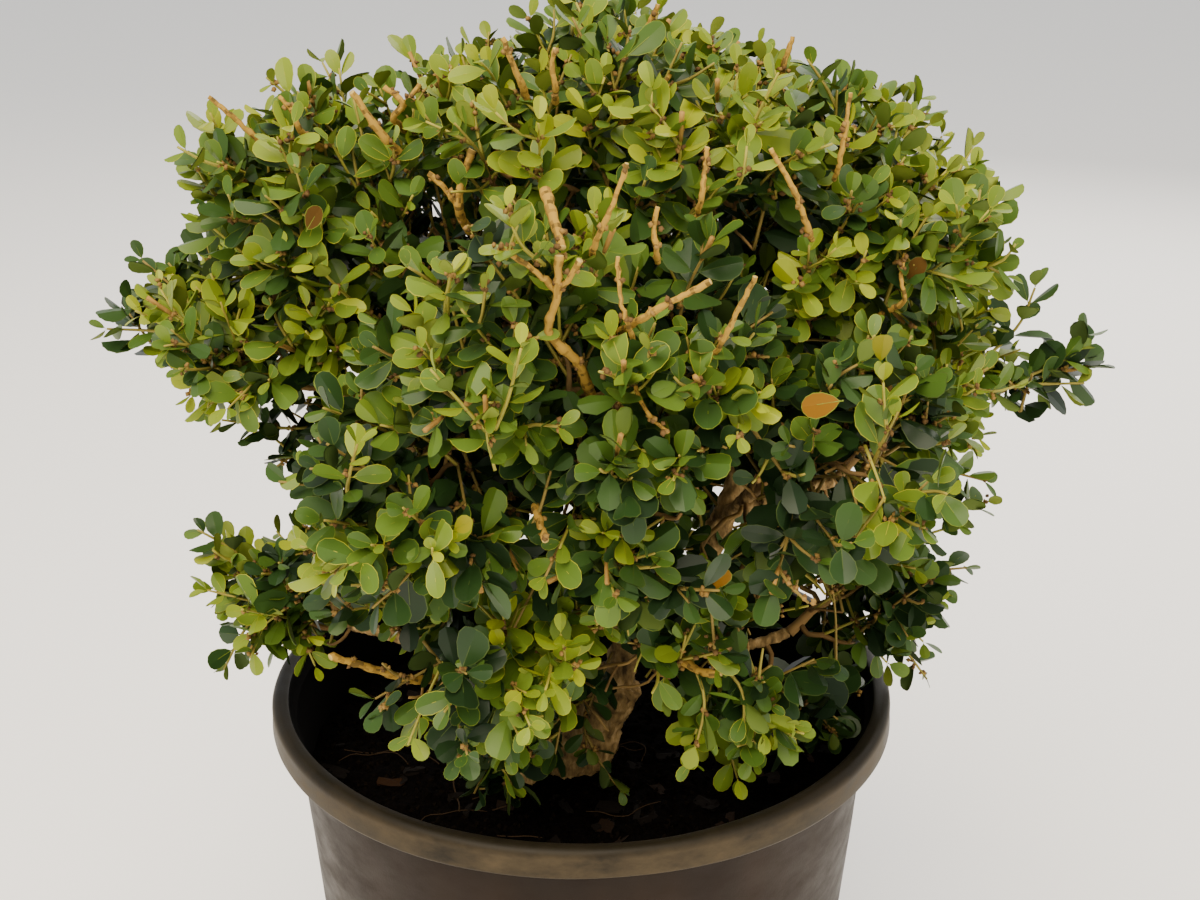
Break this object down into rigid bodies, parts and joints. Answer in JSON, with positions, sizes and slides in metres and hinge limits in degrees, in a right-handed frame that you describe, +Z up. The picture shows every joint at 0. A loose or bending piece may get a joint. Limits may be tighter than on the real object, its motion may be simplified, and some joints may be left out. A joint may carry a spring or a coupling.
{
  "type": "clipped box bush in a nursery pot",
  "caption": "Small-leaved box bush loosely clipped to a shaggy ball, growing from a short forked trunk in a round plastic nursery pot that stands on its flat base.",
  "frame": {"origin": "centre of the pot's flat underside, where the plant stands", "axes": "+Z up along the pot's axis, -Y towards the bush's front, +X to its right seen from the front"},
  "size_m": [0.4531, 0.349, 0.5988],
  "materials": {
    "leaves": "glossy evergreen leaves, dark to bright yellow-green, paler below and along the margin",
    "bark": "rough grey-brown bark on the trunk, tan on young wood and cut ends",
    "compost": "damp near-black potting compost with bark chips",
    "pot_plastic": "matt black-brown moulded plastic, dusty and scuffed on the rim"
  },
  "bodies": {
    "root": {"pot": "pot_plastic", "compost": "compost", "foliage_top": "leaves", "foliage_upper_left": "leaves", "foliage_upper_right": "leaves", "foliage_front": "leaves", "foliage_left": "leaves", "foliage_right": "leaves", "foliage_front_left": "leaves", "foliage_front_right": "leaves", "foliage_middle": "leaves", "foliage_low_front": "leaves", "foliage_low_right": "leaves", "foliage_lobe_left": "leaves", "foliage_lobe_right": "leaves", "foliage_top_back": "leaves", "foliage_back_left": "leaves", "foliage_back_right": "leaves", "foliage_back": "leaves", "foliage_low_back_left": "leaves", "foliage_low_back_right": "leaves", "foliage_fringe_left": "leaves", "foliage_fringe_middle": "leaves", "foliage_fringe_right": "leaves", "foliage_inside_right": "leaves", "foliage_tip_left": "leaves", "foliage_tip_right": "leaves", "foliage_tip_top": "leaves", "trunk": "bark", "bough_left": "bark", "bough_right": "bark", "bough_middle": "bark", "bough_back": "bark", "bough_upper_left": "bark", "bough_side_right": "bark", "bough_low_right": "bark", "bough_low_left": "bark", "bough_low_front": "bark", "bough_front": "bark", "bough_front_left": "bark", "bough_front_right": "bark", "bough_back_left": "bark", "bough_back_right": "bark"}
  },
  "joints": []
}
